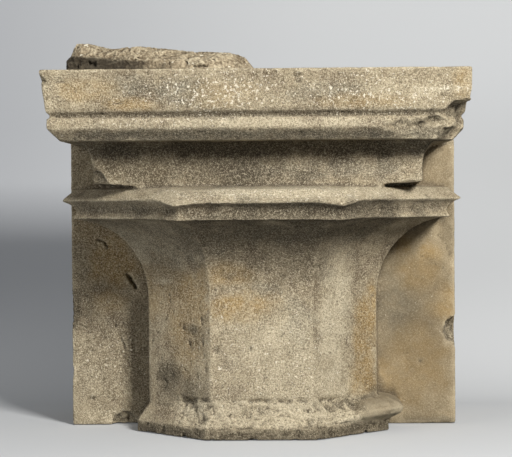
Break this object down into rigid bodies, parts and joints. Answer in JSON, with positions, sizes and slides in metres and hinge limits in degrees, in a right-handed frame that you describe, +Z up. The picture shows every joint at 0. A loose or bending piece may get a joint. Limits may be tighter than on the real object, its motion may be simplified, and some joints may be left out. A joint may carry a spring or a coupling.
{
  "type": "engaged capital",
  "caption": "Weathered stone capital of a half-octagonal wall respond: flared bell, beaked ledge and rectangular abacus on one bonded block.",
  "frame": {"origin": "on the underside, below the middle of the bonded block's front face", "axes": "+Z up, -Y out of the wall towards the viewer, +X along the wall to the viewer's right"},
  "size_m": [0.3642, 0.306, 0.3468],
  "materials": {
    "limestone": "weathered coarse limestone, tooled and worn",
    "mortar": "rough sandy lime mortar"
  },
  "bodies": {
    "root": {"capital_block": "limestone", "mortar_bed": "mortar"}
  },
  "joints": []
}
